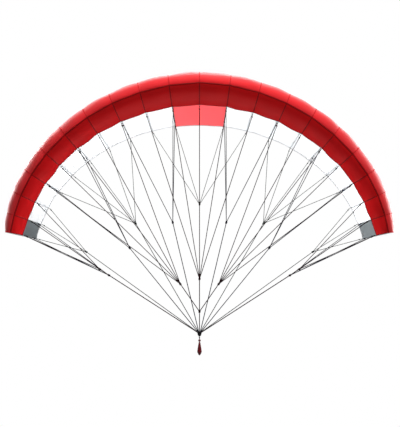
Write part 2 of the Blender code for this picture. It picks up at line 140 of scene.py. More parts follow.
WIDTHS = cell_widths()
RIBS = {0: Rib(0, 0.0)}
for number in range(1, CELLS_A_SIDE + 1):
    RIBS[number] = Rib(number, sum(WIDTHS[:number]))
    RIBS[-number] = Rib(-number, sum(WIDTHS[:number]))


def cell_width(cell):
    """Flat width of a cell. Cell 0 is right of the middle and cell -1 left of it."""
    return WIDTHS[cell if cell >= 0 else -cell - 1]


def cell_chord(cell, share):
    """Chord of a cell at a share of the way across it."""
    return RIBS[cell].chord + (RIBS[cell + 1].chord - RIBS[cell].chord) * share


def section_point(girth):
    """The skin's section in shares of the chord: girth -1 is the front tab, 0 the nose, 1 the rear."""
    if girth < 0:
        turn = -girth * math.pi / 2
        return Vector((FRONT_TAB_AT * (1 - math.cos(turn)), -FRONT_TAB_DROP * math.sin(turn)))
    back = girth * girth
    return Vector((back, CROWN_FACTOR * girth * (1 - back) ** CROWN_FALL_POWER + REAR_RISE * back))


def section_out(girth):
    """The outward direction of the section at a girth value."""
    before = max(girth - SLOPE_STEP, -1.0)
    after = min(girth + SLOPE_STEP, 1.0)
    along = (section_point(after) - section_point(before)).normalized()
    return Vector((-along.y, along.x))


def rib_tabs(rib):
    """Tabs of one rib: name, front edge and level in metres, in the rib's plane."""
    tabs = [("front", FRONT_TAB_AT * rib.chord, -FRONT_TAB_DROP * rib.chord)]
    if rib.number % 2 or abs(rib.number) == CELLS_A_SIDE:
        tabs.append(("middle", MIDDLE_TAB_AT * rib.chord, 0.0))
        tabs.append(("back", BACK_TAB_AT * rib.chord, 0.0))
    level = section_point(math.sqrt(RIB_END_AT)).y * rib.chord - BRAKE_TAB_RISE
    if rib.number:
        tabs.append(("brake", RIB_END_AT * rib.chord - TAB_WIDTH, level))
    return tabs


def crown(rib, back):
    """Height of the skin over a rib's chord line, in metres."""
    return section_point(math.sqrt(back / rib.chord)).y * rib.chord


def rib_profile(rib):
    """Columns of a rib from nose to rear: metres back, its lower edge and its upper edge."""
    chord = rib.chord
    columns = []
    for step in range(1, NOSE_STEPS + 1):
        back = FRONT_TAB_AT * chord * (step / NOSE_STEPS) ** 2
        turn = math.acos(1 - back / (FRONT_TAB_AT * chord))
        columns.append((back, -FRONT_TAB_DROP * math.sin(turn) * chord))
    tabs = rib_tabs(rib)
    if not rib.number:
        tabs.append(("rear", RIB_END_AT * chord, crown(rib, RIB_END_AT * chord) - REAR_DEPTH))
    arch = SCALLOP_SHORT if len(tabs) > 2 and rib.number else SCALLOP_LONG
    for (_, front, level), (_, next_front, next_level) in zip(tabs, tabs[1:]):
        start = front + TAB_WIDTH
        start_drop = crown(rib, start) - level
        end_drop = crown(rib, next_front) - next_level
        for step in range(SCALLOP_STEPS + 1):
            share = step / SCALLOP_STEPS
            back = start + (next_front - start) * share
            drop = (start_drop + (end_drop - start_drop) * share) * (1 - arch * 4 * share * (1 - share))
            columns.append((back, crown(rib, back) - drop))
    if rib.number:
        columns.append((RIB_END_AT * chord, tabs[-1][2]))
    return [(back, low + RIB_CLEARANCE, crown(rib, back) - RIB_CLEARANCE) for back, low in columns]


def lay_grid(bm, columns, rows, place):
    """Add a grid of cloth to a mesh. place gives each point and its spot on the flat cloth, in metres."""
    made = bmesh.ops.create_grid(bm, x_segments=columns, y_segments=rows, size=0.5)
    flat = bm.loops.layers.uv.verify()
    spots = {}
    for vertex in made["verts"]:
        column = round((vertex.co.x + 0.5) * columns)
        row = round((vertex.co.y + 0.5) * rows)
        vertex.co, spots[vertex] = place(column, row)
    for face in {face for vertex in made["verts"] for face in vertex.link_faces}:
        face.smooth = True
        for loop in face.loops:
            loop[flat].uv = spots[loop.vert]


def finish_mesh(name, bm):
    """A new mesh from a bmesh, which is then freed."""
    mesh = bpy.data.meshes.new(name)
    bm.to_mesh(mesh)
    bm.free()
    return mesh


def add_object(name, data):
    """A new object of a mesh, light or camera, in the scene."""
    made = bpy.data.objects.new(name, data)
    bpy.context.scene.collection.objects.link(made)
    return made


def fit_piece(piece, replaced):
    """Let a piece ride on the wing with its finish, in place of the plain solids that it dresses."""
    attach(piece, "root")
    if replaced:
        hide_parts(*replaced)


def finish_cloth(name, bm, material, thickness, replaced=()):
    """Turn laid grids into one piece of cloth with a thin closed wall, riding on the wing."""
    mesh = finish_mesh(name, bm)
    mesh.materials.append(material)
    piece = add_object(name, mesh)
    wall = piece.modifiers.new("cloth", "SOLIDIFY")
    wall.thickness = thickness
    wall.offset = 0.0
    fit_piece(piece, replaced)
    return piece


def add_node(tree, kind, inputs=None, **settings):
    """Add a node with its settings, and set or link its inputs."""
    node = tree.nodes.new(kind)
    for key, value in settings.items():
        setattr(node, key, value)
    for key, value in (inputs or {}).items():
        if isinstance(value, bpy.types.NodeSocket):
            tree.links.new(value, node.inputs[key])
        else:
            node.inputs[key].default_value = value
    return node


def linear(code):
    """An sRGB hex colour as linear red, green, blue and 1."""
    channels = [int(code[place:place + 2], 16) / 255 for place in (1, 3, 5)]
    return [c / 12.92 if c <= 0.04045 else ((c + 0.055) / 1.055) ** 2.4 for c in channels] + [1.0]


def new_material(name):
    """A new material with an empty node tree, and that tree."""
    material = bpy.data.materials.new(name)
    material.use_nodes = True
    material.node_tree.nodes.clear()
    return material, material.node_tree


def two_colours(tree, factor, first, second):
    """A colour that runs between two hex colours as a factor does."""
    mix = add_node(tree, "ShaderNodeMix", {"Factor": factor, "A": linear(first), "B": linear(second)},
                   data_type="RGBA")
    return mix.outputs["Result"]


def bumped_surface(tree, colour, height, strength, depth, finish):
    """The end of a material's tree: one colour, with its relief from a height."""
    bump = add_node(tree, "ShaderNodeBump", {"Height": height, "Strength": strength, "Distance": depth})
    face = add_node(tree, "ShaderNodeBsdfPrincipled", {"Base Color": colour,
                                                       "Normal": bump.outputs["Normal"], **finish})
    add_node(tree, "ShaderNodeOutputMaterial", {"Surface": face.outputs["BSDF"]})


def ripstop(name, shade, lit, glow, glow_share, rough, shine=0.3, sheen=0.0):
    """Coated nylon ripstop, calendered: a faint grid of thicker threads, soft gloss and packing creases.

    shade and lit are the two colours its mottling runs between, and glow is the light it lets through.
    sheen brightens it where it turns away from the eye.
    """
    grid_mm = 5.0
    weave_mm = 1.5
    mottle_mm = 90.0
    crease_mm = 45.0
    material, tree = new_material(name)
    flat = add_node(tree, "ShaderNodeUVMap", uv_map="UVMap").outputs["UV"]
    mottle = add_node(tree, "ShaderNodeTexNoise", {"Vector": flat, "Scale": 1000 / mottle_mm, "Detail": 4.0})
    colour = two_colours(tree, mottle.outputs["Fac"], shade, lit)
    grid = add_node(tree, "ShaderNodeTexBrick", {"Vector": flat, "Scale": 1000 / grid_mm,
                                                 "Mortar Size": 0.06, "Mortar Smooth": 0.5,
                                                 "Brick Width": 1.0, "Row Height": 1.0}, offset=0.0)
    weave = {"Vector": flat, "Scale": 1000 / weave_mm / 2}
    warp = add_node(tree, "ShaderNodeTexWave", weave, bands_direction="X")
    weft = add_node(tree, "ShaderNodeTexWave", weave, bands_direction="Y")
    crease = add_node(tree, "ShaderNodeTexVoronoi", {"Vector": flat, "Scale": 1000 / crease_mm / 3},
                      feature="DISTANCE_TO_EDGE")
    ridge = add_node(tree, "ShaderNodeMapRange", {"Value": crease.outputs["Distance"], "From Max": 0.06,
                                                  "To Min": 1.0, "To Max": 0.0})
    threads = add_node(tree, "ShaderNodeMath", {0: warp.outputs["Fac"], 1: weft.outputs["Fac"]},
                       operation="MULTIPLY")
    fine = add_node(tree, "ShaderNodeBump", {"Height": threads.outputs["Value"], "Strength": 0.08,
                                             "Distance": 0.0001})
    crossed = add_node(tree, "ShaderNodeBump", {"Height": grid.outputs["Fac"], "Strength": 0.15,
                                                "Distance": 0.0002, "Normal": fine.outputs["Normal"]})
    creased = add_node(tree, "ShaderNodeBump", {"Height": ridge.outputs["Result"], "Strength": 0.12,
                                                "Distance": 0.0008, "Normal": crossed.outputs["Normal"]})
    gloss = add_node(tree, "ShaderNodeMapRange", {"Value": mottle.outputs["Fac"], "To Min": rough - 0.06,
                                                  "To Max": rough + 0.06})
    face = add_node(tree, "ShaderNodeBsdfPrincipled", {"Base Color": colour,
                                                       "Roughness": gloss.outputs["Result"],
                                                       "Normal": creased.outputs["Normal"],
                                                       "Sheen Weight": sheen, "Sheen Roughness": 0.45,
                                                       "Specular IOR Level": shine})
    through = add_node(tree, "ShaderNodeBsdfTranslucent", {"Color": linear(glow),
                                                           "Normal": creased.outputs["Normal"]})
    both = add_node(tree, "ShaderNodeMixShader", {"Fac": glow_share, 1: face.outputs["BSDF"],
                                                  2: through.outputs["BSDF"]})
    add_node(tree, "ShaderNodeOutputMaterial", {"Surface": both.outputs["Shader"]})
    return material


RIB_RIPSTOP = ripstop("rib_white_ripstop", "#E8EAEC", "#F0F1F2", "#F5F6F7", 0.65, 0.5, 0.2)


def make_rib(rib):
    """One rib, with the slight waves of thin cloth that only its edges hold."""
    profile = rib_profile(rib)
    bm = bmesh.new()

    def place(column, row):
        back, low, high = profile[column]
        share = row / RIB_ROWS
        up = low + (high - low) * share
        hold = 4 * share * (1 - share) * min(1.0, back / RIB_WAVE_START)
        wave = noise.noise(Vector((back / RIB_WAVE_LENGTH, up / RIB_WAVE_LENGTH, rib.number * RIB_SEED)))
        return rib.place(back, up, RIB_WAVE * hold * wave), (back, up * rib.depth)

    lay_grid(bm, len(profile) - 1, RIB_ROWS, place)
    piece = finish_cloth("rib_cloth_" + rib.name, bm, RIB_RIPSTOP, RIB_CLOTH,
                         ["rib_" + rib.name])


for rib in RIBS.values():
    make_rib(rib)

# Nose skin: two panels of bright red ripstop, from the front seam round the nose to a fifth of the chord.
# Air holds them out between the ribs, and the sewing draws short puckers in beside every seam.
NOSE_COLOUR_END = 0.20
NOSE_SEAM_SHARE = 8 / 90
NOSE_BACK = math.sqrt(NOSE_COLOUR_END)
SWELL_FRONT = 0.030
SWELL_CROWN = 0.035
SWELL_UNDER = 0.020
SKIN_CLOTH = 0.0008
COLUMNS_A_CELL = 16
ROW_STEP = 0.008
PUCKER_DEPTH = 0.0060
PUCKER_REACH = 0.022
PUCKER_START = 0.006
PUCKER_LENGTH = 0.024
CROSS_PUCKER_DEPTH = 0.0025
SAG_DEPTH = 0.0050
SAG_LENGTH = 0.14
PUCKER_FADE = 0.25
PUCKER_SEED = 3.7
PUCKER_LEVEL = 0.5
CROSS_SEED = 5.3
CROSS_LEVEL = 9.5
SAG_LEVEL = 4.0
CROSS_SEAMS = (-1.0, -NOSE_SEAM_SHARE, NOSE_BACK, 1.0)
GIRTH_SAMPLES = 400
GIRTH_HALVINGS = 24
HALVES = (("left", -CELLS_A_SIDE), ("right", 0))


def girth_runs():
    """Length of the section from girth -1 to each of many girths, in shares of the chord."""
    runs = [0.0]
    for step in range(GIRTH_SAMPLES):
        start = -1 + 2 * step / GIRTH_SAMPLES
        runs.append(runs[-1] + (section_point(start + 2 / GIRTH_SAMPLES) - section_point(start)).length)
    return runs


GIRTH_RUNS = girth_runs()


def run_at(girth):
    """Length of the section from girth -1 to a girth, in shares of the chord."""
    place = min(max((girth + 1) / 2 * GIRTH_SAMPLES, 0.0), GIRTH_SAMPLES - 1e-6)
    index = int(place)
    return GIRTH_RUNS[index] + (GIRTH_RUNS[index + 1] - GIRTH_RUNS[index]) * (place - index)


def girth_at(run):
    """The girth value at a length of the section from girth -1, in shares of the chord."""
    low, high = -1.0, 1.0
    for _ in range(GIRTH_HALVINGS):
        middle = (low + high) / 2
        low, high = (middle, high) if run_at(middle) < run else (low, middle)
    return (low + high) / 2


def cut_length(rib, first_girth, last_girth):
    """Length of skin along one rib between two girths, in metres, measured on the deepened section."""
    steps = 60
    girths = [first_girth + (last_girth - first_girth) * step / steps for step in range(steps + 1)]
    spots = [rib.place(*(section_point(girth) * rib.chord)) for girth in girths]
    return sum((end - start).length for start, end in zip(spots, spots[1:]))


def swell(girth):
    """How far a cell swells out between its ribs, as a share of its width."""
    if girth < 0:
        return SWELL_FRONT + (SWELL_FRONT - SWELL_UNDER) * girth
    return SWELL_FRONT + SWELL_CROWN * math.sin(math.pi * girth * girth)


def held_in(distance):
    """How much of a pucker shows at a distance from its seam."""
    return math.exp(-distance / PUCKER_REACH) * (1 - math.exp(-distance / PUCKER_START))


def relief(cell, share, girth):
    """How far puckers and slack lift the cloth off its smooth swell, in metres."""
    width = cell_width(cell)
    chord = cell_chord(cell, share)
    along = RIBS[cell].distance + width * share
    run = run_at(girth) * chord
    lift = 0.0
    for edge, number in ((share, cell), (1 - share, cell + 1)):
        pull = noise.noise(Vector((run / PUCKER_LENGTH, PUCKER_SEED * number, PUCKER_LEVEL)))
        lift += PUCKER_DEPTH * held_in(edge * width) * pull
    for place, seam in enumerate(CROSS_SEAMS):
        pull = noise.noise(Vector((along / PUCKER_LENGTH, CROSS_SEED * place, CROSS_LEVEL)))
        lift += CROSS_PUCKER_DEPTH * held_in(abs(run_at(seam) * chord - run)) * pull
    slack = noise.noise(Vector((along / SAG_LENGTH, run / SAG_LENGTH, SAG_LEVEL)))
    faded = lift * min(share, 1 - share, PUCKER_FADE) / PUCKER_FADE
    return faded + SAG_DEPTH * 4 * share * (1 - share) * slack


def skin_frame(cell, share, girth):
    """A point of the swollen skin and its outward direction."""
    left = RIBS[cell]
    right = RIBS[cell + 1]
    section = section_point(girth)
    out = section_out(girth)
    start = left.place(*(section * left.chord))
    end = right.place(*(section * right.chord))
    outward = (left.back * out.x + left.up * out.y + right.back * out.x + right.up * out.y).normalized()
    bulge = swell(girth) * cell_width(cell) * 4 * share * (1 - share) + relief(cell, share, girth)
    return start.lerp(end, share) + outward * bulge, outward


def cell_column(column, first_rib, last_rib):
    """The cell of a column of cloth and its share of the way across. Columns crowd towards the ribs."""
    cell = min(first_rib + column // COLUMNS_A_CELL, last_rib - 1)
    turn = math.pi * (column - (cell - first_rib) * COLUMNS_A_CELL) / COLUMNS_A_CELL
    return cell, (1 - math.cos(turn)) / 2


def make_skin(name, first_rib, last_rib, first_girth, last_girth, material, replaced):
    """A panel of skin over several cells."""
    first_run = run_at(first_girth)
    length = run_at(last_girth) - first_run
    rows = math.ceil(length * CHORD_MIDDLE / ROW_STEP)
    girths = [girth_at(first_run + length * row / rows) for row in range(1, rows)]
    girths = [first_girth] + girths + [last_girth]
    bm = bmesh.new()

    def place(column, row):
        cell, share = cell_column(column, first_rib, last_rib)
        spot, _ = skin_frame(cell, share, girths[row])
        along = RIBS[cell].distance + cell_width(cell) * share
        return spot, (along, run_at(girths[row]) * RIBS[cell].chord)

    lay_grid(bm, (last_rib - first_rib) * COLUMNS_A_CELL, rows, place)
    piece = finish_cloth(name, bm, material, SKIN_CLOTH, replaced)
    cells = range(first_rib, last_rib)
    lengths = [(cut_length(RIBS[cell], first_girth, last_girth)
                + cut_length(RIBS[cell + 1], first_girth, last_girth)) / 2 for cell in cells]


NOSE_RIPSTOP = ripstop("nose_red_ripstop", "#F41C24", "#FF2A32", "#FF2028", 0.12, 0.45, 0.04, 0.75)
for side, first_rib in HALVES:
    make_skin("nose_cloth_" + side, first_rib, first_rib + CELLS_A_SIDE, -NOSE_SEAM_SHARE, NOSE_BACK,
              NOSE_RIPSTOP, ["nose_skin_" + side])

# Underside of the nose: a band of dark red ripstop from the front seam back to the first row of tabs.
# It closes the nose from below, and its rear edge hangs free between the tabs.
UNDER_RIPSTOP = ripstop("under_dark_red_ripstop", "#F01418", "#FF2026", "#E0161C", 0.10, 0.5, 0.07)
for side, first_rib in HALVES:
    make_skin("under_cloth_" + side, first_rib, first_rib + CELLS_A_SIDE, -1.0, -NOSE_SEAM_SHARE,
              UNDER_RIPSTOP, ["nose_underside_" + side])

# Top panels: the single skin behind the nose. The two middle cells are thin red ripstop that light
# comes through, eight cells on each side are white, and the last cell at each tip is grey.
CENTRE_RIPSTOP = ripstop("centre_pale_red_ripstop", "#F48288", "#FF9498", "#FF969A", 0.60, 0.45, 0.12)
WHITE_RIPSTOP = ripstop("white_ripstop", "#EAECEE", "#F1F2F3", "#F5F6F7", 0.70, 0.45, 0.2)
GREY_RIPSTOP = ripstop("tip_grey_ripstop", "#54595C", "#646A6D", "#B6BABC", 0.58, 0.5, 0.2)
LAST_CELL = CELLS_A_SIDE - 1
make_skin("centre_top_cloth", -1, 1, NOSE_BACK, 1.0, CENTRE_RIPSTOP, ["centre_panel"])
for side, first_white, first_tip in (("left", -LAST_CELL, -CELLS_A_SIDE), ("right", 1, LAST_CELL)):
    make_skin("white_top_cloth_" + side, first_white, first_white + LAST_CELL - 1, NOSE_BACK, 1.0,
              WHITE_RIPSTOP, ["white_panel_" + side])
    make_skin("tip_top_cloth_" + side, first_tip, first_tip + 1, NOSE_BACK, 1.0,
              GREY_RIPSTOP, ["tip_panel_" + side])

# Seam tapes and hems: narrow strips sewn over the seams at the ribs and along the span, and folded over
# the free edges. They are woven polyester tape, but for the rear hem of the top, which is doubled cloth.
SEAM_TAPE_WIDTH = 0.0045
SEAM_TAPE = 0.0006
SEAM_TAPE_LIFT = 0.0011
HEM_DEPTH = 0.008
HEM_THICKNESS = 0.0020
TAPE_STEP = 0.010
FRONT_TAPE_HALF = 0.003
TOP_TAPE_HALF = 0.004
UNDER_TAPE_END = -0.985
TOP_SEAM_END = 0.99


def woven_tape(name, shade, lit):
    """Plain-woven polyester tape: matt, with fine cross ribs."""
    rib_mm = 1.2
    material, tree = new_material(name)
    flat = add_node(tree, "ShaderNodeUVMap", uv_map="UVMap").outputs["UV"]
    ribs = add_node(tree, "ShaderNodeTexWave", {"Vector": flat, "Scale": 1000 / rib_mm / 2,
                                                "Distortion": 0.4}, bands_direction="X")
    blotch = add_node(tree, "ShaderNodeTexNoise", {"Vector": flat, "Scale": 30.0, "Detail": 3.0})
    colour = two_colours(tree, blotch.outputs["Fac"], shade, lit)
    bumped_surface(tree, colour, ribs.outputs["Fac"], 0.4, 0.0002,
                   {"Roughness": 0.7, "Specular IOR Level": 0.15})
    return material


def seam_frame(rib, girth):
    """A point on the seam over a rib, and its outward direction."""
    out = section_out(girth)
    return rib.place(*(section_point(girth) * rib.chord)), rib.back * out.x + rib.up * out.y


def make_rib_tapes(name, first_girth, last_girth, material):
    """Tapes over all rib seams between two girths, joined into one piece."""
    bm = bmesh.new()
    for rib in RIBS.values():
        length = (run_at(last_girth) - run_at(first_girth)) * rib.chord
        steps = math.ceil(length / TAPE_STEP)
        runs = [run_at(first_girth) + length / rib.chord * step / steps for step in range(steps + 1)]

        def place(column, row):
            spot, out = seam_frame(rib, girth_at(runs[column]))
            aside = (row / 2 - 0.5) * SEAM_TAPE_WIDTH
            return spot + out * SEAM_TAPE_LIFT - rib.across * aside, (runs[column] * rib.chord, aside)

        lay_grid(bm, steps, 2, place)
    finish_cloth(name, bm, material, SEAM_TAPE)


def make_cross_tape(name, girth, forward, backward, lift, thickness, material):
    """A strip from tip to tip. It lies over a seam, or is folded over a free edge."""
    bm = bmesh.new()

    def place(column, row):
        cell, share = cell_column(column, -CELLS_A_SIDE, CELLS_A_SIDE)
        along = forward + (backward - forward) * row / 2
        spot, out = skin_frame(cell, share, girth_at(run_at(girth) + along / cell_chord(cell, share)))
        return spot + out * lift, (RIBS[cell].distance + cell_width(cell) * share, along)

    lay_grid(bm, 2 * CELLS_A_SIDE * COLUMNS_A_CELL, 2, place)
    finish_cloth(name, bm, material, thickness)


RED_TAPE = woven_tape("red_seam_tape", "#D8161C", "#E82028")
# This tape is darker than the red tape on the nose. The dark red is painted shade for the seam valleys under
# the nose, and the under rear hem uses it too.
PAINTED_SHADE_TAPE = woven_tape("under_seam_tape_painted_shade", "#A00A10", "#B01014")
# The front seam tape is near-black red. This is painted shade for the fold where the nose turns under.
FOLD_PAINTED_SHADE_TAPE = woven_tape("front_tape_painted_fold_shade", "#A0060A", "#AC0A0E")
PALE_TAPE = woven_tape("pale_grey_tape", "#C4CED2", "#D6DEE0")
make_rib_tapes("nose_seam_tapes", -NOSE_SEAM_SHARE, NOSE_BACK, RED_TAPE)
make_rib_tapes("under_seam_tapes", UNDER_TAPE_END, -NOSE_SEAM_SHARE, PAINTED_SHADE_TAPE)
make_rib_tapes("top_seam_tapes", NOSE_BACK, TOP_SEAM_END, PALE_TAPE)
make_cross_tape("front_seam_tape", -NOSE_SEAM_SHARE, -FRONT_TAPE_HALF, FRONT_TAPE_HALF,
                SEAM_TAPE_LIFT, SEAM_TAPE, FOLD_PAINTED_SHADE_TAPE)
make_cross_tape("top_seam_tape", NOSE_BACK, -TOP_TAPE_HALF, TOP_TAPE_HALF,
                SEAM_TAPE_LIFT, SEAM_TAPE, RED_TAPE)
make_cross_tape("under_rear_hem", -1.0, 0.0, HEM_DEPTH, 0.0, HEM_THICKNESS, PAINTED_SHADE_TAPE)
HEM_RIPSTOP = ripstop("doubled_white_hem", "#E2E4E7", "#EBECEE", "#EAECEE", 0.45, 0.5, 0.2)
make_cross_tape("top_rear_hem", 1.0, -HEM_DEPTH, 0.0, 0.0, HEM_THICKNESS, HEM_RIPSTOP)

# Rib bindings: the same pale tape folded over each rib's lower edge between its tabs.
# It carries the pull from tab to tab, and from the front it shows more than the rib does.
BINDING_DEPTH = 0.006
BINDING_THICKNESS = 0.0016
BINDING_BELOW = 0.1


def make_bindings():
    """Bindings of all ribs, joined into one piece."""
    bm = bmesh.new()
    for rib in RIBS.values():
        profile = rib_profile(rib)[NOSE_STEPS:]

        def place(column, row):
            back, low, _ = profile[column]
            up = low + BINDING_DEPTH * (row / 2 - BINDING_BELOW)
            return rib.place(back, up), (back, up - low)

        lay_grid(bm, len(profile) - 1, 2, place)
    finish_cloth("rib_bindings", bm, PALE_TAPE, BINDING_THICKNESS)


make_bindings()

# Line tabs: loops of dark webbing tape, one at each point where a line is tied on.
# Each is folded double over the rib's lower edge and sewn flat to both its faces.
TAB_TAPE = 0.0009
TAB_SEWN = 0.012
TAB_LOOP_RADIUS = 0.0024
TAB_LOOP_START_DEG = 25
TAB_LOOP_STEPS = 6
TAB_FLAT_END = 0.0005
TAB_WEAVE_STEP = 0.002
WEBBING = woven_tape("black_webbing_tape", "#1C1D20", "#2A2C30")


def tab_path():
    """Half widths and heights of a tab's loop from one face of the rib round to the other."""
    flat = RIB_CLOTH / 2 + TAB_TAPE / 2
    centre = -TAB_LENGTH + TAB_LOOP_RADIUS + TAB_TAPE / 2
    side = [(flat, TAB_SEWN), (flat, TAB_SEWN / 2), (flat, TAB_FLAT_END)]
    for step in range(1, TAB_LOOP_STEPS + 1):
        turn = math.radians(TAB_LOOP_START_DEG + (180 - TAB_LOOP_START_DEG) * step / TAB_LOOP_STEPS)
        side.append((TAB_LOOP_RADIUS * math.sin(turn), centre + TAB_LOOP_RADIUS * math.cos(turn)))
    return side + [(-aside, up) for aside, up in reversed(side[:-1])]


def make_tabs():
    """All line tabs, joined into one piece."""
    bm = bmesh.new()
    path = tab_path()
    for rib in RIBS.values():
        for _, front, level in rib_tabs(rib):

            def place(column, row):
                aside, up = path[column]
                back = front + TAB_WIDTH * (1 - row)
                return rib.place(back, level + up, aside), (column * TAB_WEAVE_STEP, row * TAB_WIDTH)

            lay_grid(bm, len(path) - 1, 1, place)
    finish_cloth("line_tabs", bm, WEBBING, TAB_TAPE)


make_tabs()

# Stitches: lockstitch in bonded polyester thread, a row down each side of every rib seam. The thread
# is drawn thicker and the stitches longer than real ones, so that they show.
STITCH_PITCH = 0.0080
STITCH_LENGTH = 0.0055
STITCH_THICKNESS = 0.0007
STITCH_ASIDE = 0.0042
STITCH_LIFT = 0.0001
STITCH_PATH_STEP = 0.012
UNDER_STITCH_END = -0.98


def plain_finish(name, shade, lit, rough, noise_mm=2.0, depth=0.0002, coat=0.0):
    """A thread, webbing or lacquer finish with a slight mottling and surface unevenness."""
    material, tree = new_material(name)
    place = add_node(tree, "ShaderNodeTexCoord").outputs["Object"]
    grain = add_node(tree, "ShaderNodeTexNoise", {"Vector": place, "Scale": 1000 / noise_mm, "Detail": 3.0})
    colour = two_colours(tree, grain.outputs["Fac"], shade, lit)
    bumped_surface(tree, colour, grain.outputs["Fac"], 0.3, depth,
                   {"Roughness": rough, "Coat Weight": coat, "Coat Roughness": 0.08})
    return material


def add_input(tree, name, kind, value=None):
    """A named input of a Geometry Nodes tree."""
    socket = tree.interface.new_socket(name, in_out="INPUT", socket_type=kind)
    if value is not None:
        socket.default_value = value


def close_tree(tree, shape, material):
    """The end of a Geometry Nodes tree: its shape as one mesh, in a material."""
    tree.interface.new_socket("Shape", in_out="OUTPUT", socket_type="NodeSocketGeometry")
    whole = add_node(tree, "GeometryNodeRealizeInstances", {"Geometry": shape})
    done = add_node(tree, "GeometryNodeSetMaterial", {"Geometry": whole.outputs["Geometry"],
                                                      "Material": material})
    add_node(tree, "NodeGroupOutput", {"Shape": done.outputs["Geometry"]})


def stitch_tree():
    """Geometry Nodes: short rods of thread, end to end along every path of the input mesh."""
    tree = bpy.data.node_groups.new("stitches", "GeometryNodeTree")
    add_input(tree, "Paths", "NodeSocketGeometry")
    add_input(tree, "Pitch", "NodeSocketFloat", STITCH_PITCH)
    add_input(tree, "Stitch Length", "NodeSocketFloat", STITCH_LENGTH)
    add_input(tree, "Thread Thickness", "NodeSocketFloat", STITCH_THICKNESS)
    add_input(tree, "Material", "NodeSocketMaterial")
    given = add_node(tree, "NodeGroupInput").outputs
    paths = add_node(tree, "GeometryNodeMeshToCurve", {"Mesh": given["Paths"]})
    points = add_node(tree, "GeometryNodeCurveToPoints", {"Curve": paths.outputs["Curve"],
                                                          "Length": given["Pitch"]}, mode="LENGTH")
    half = add_node(tree, "ShaderNodeMath", {0: given["Thread Thickness"], 1: 0.5}, operation="MULTIPLY")
    rod = add_node(tree, "GeometryNodeMeshCylinder", {"Vertices": 5, "Radius": half.outputs["Value"],
                                                      "Depth": given["Stitch Length"]})
    rods = add_node(tree, "GeometryNodeInstanceOnPoints", {"Points": points.outputs["Points"],
                                                           "Instance": rod.outputs["Mesh"],
                                                           "Rotation": points.outputs["Rotation"]})
    close_tree(tree, rods.outputs["Instances"], given["Material"])
    return tree


def grow(name, mesh, tree, sizes, replaced=()):
    """Run a Geometry Nodes tree over a mesh of paths, and keep the result as one plain mesh."""
    piece = add_object(name, mesh)
    modifier = piece.modifiers.new(tree.name, "NODES")
    modifier.node_group = tree
    for socket in tree.interface.items_tree:
        if socket.name in sizes:
            modifier[socket.identifier] = sizes[socket.name]
    depsgraph = bpy.context.evaluated_depsgraph_get()
    grown = bpy.data.meshes.new_from_object(piece.evaluated_get(depsgraph), preserve_all_data_layers=True,
                                            depsgraph=depsgraph)
    piece.modifiers.remove(modifier)
    piece.data = grown
    fit_piece(piece, replaced)


def path_mesh(name, paths, thickness=None):
    """A mesh of open paths. thickness gives each path's points a factor for the line drawn along it."""
    bm = bmesh.new()
    factor = bm.verts.layers.float.new("thickness")
    for index, path in enumerate(paths):
        corners = [bm.verts.new(spot) for spot in path]
        for corner in corners:
            corner[factor] = thickness[index] if thickness else 1.0
        for start, end in zip(corners, corners[1:]):
            bm.edges.new((start, end))
    return finish_mesh(name, bm)


def seam_stitch_paths(first_girth, last_girth):
    """Paths beside each rib seam, on both cells, a little above the cloth."""
    start = run_at(first_girth)
    length = run_at(last_girth) - start
    paths = []
    for cell in range(-CELLS_A_SIDE, CELLS_A_SIDE):
        aside = STITCH_ASIDE / cell_width(cell)
        steps = math.ceil(length * RIBS[cell].chord / STITCH_PATH_STEP)
        for share in (aside, 1 - aside):
            frames = [skin_frame(cell, share, girth_at(start + length * index / steps))
                      for index in range(steps + 1)]
            paths.append([spot + out * (SKIN_CLOTH / 2 + STITCH_LIFT) for spot, out in frames])
    return paths


STITCHES = stitch_tree()
RED_THREAD = plain_finish("red_polyester_thread", "#A01018", "#C82830", 0.5)
PALE_THREAD = plain_finish("pale_polyester_thread", "#C9CDD2", "#E2E4E8", 0.5)
for name, girths, thread, slot in (
        ("nose_stitches", (-NOSE_SEAM_SHARE, NOSE_BACK), RED_THREAD, "red_cloth"),
        ("under_stitches", (UNDER_STITCH_END, -NOSE_SEAM_SHARE), RED_THREAD, "dark_red_cloth"),
        ("top_stitches", (NOSE_BACK, TOP_SEAM_END), PALE_THREAD, "white_cloth")):
    seams = path_mesh(name, seam_stitch_paths(*girths))
    grow(name, seams, STITCHES, {"Material": thread})

# Lines: sheathed braided cord in three grades, all taut and straight. Each fan of upper lines is hitched
# to one main line, which runs down to the sleeve. The three front fans in the middle join on the way.
LINE = 0.0042
MAIN_LINE = 0.0048
BRAKE_LINE = 0.0036
STEM_FACTOR = 1.2
SLEEVE_TOP = 0.1270
HITCH_TURNS = 3.0
HITCH_RADIUS = 0.0046
HITCH_STEPS = 10
HITCH_PITCH = 0.95
BIGHT_UP = 0.006
BIGHT_TURNS = 1.5
BIGHT_RADIUS = 0.75 * HITCH_RADIUS
BIGHT_PITCH = 1.2
BIGHT_THICKNESS = 0.9
EYE_LENGTH = 0.014
EYE_HALF_WIDTH = 0.0035
EYE_SPREAD = 1.4
EYE_SHOULDER = 0.003
EYE_SINK = 0.4
EYE_THICKNESS = 0.8
COLLAR_TURNS = 2.0
COLLAR_RADIUS = 0.75
COLLAR_PITCH = 0.9
SEAT_DEPTH = 0.003

# Where each fan gathers, in the middle or on the right: x, y and z
KNOTS = {
    "front_middle": (0.000, -0.010, 0.417),
    "front_inner": (0.108, 0.000, 0.389),
    "front_join": (0.000, -0.004, 0.237),
    "front_outer": (0.581, 0.085, 0.473),
    "mid_1": (0.162, 0.155, 0.755),
    "mid_2": (0.420, 0.160, 0.601),
    "mid_3": (0.541, 0.165, 0.438),
    "brake_middle": (0.000, 0.370, 0.899),
    "brake_inner": (0.412, 0.350, 0.771),
    "brake_outer": (0.727, 0.360, 0.588),
}

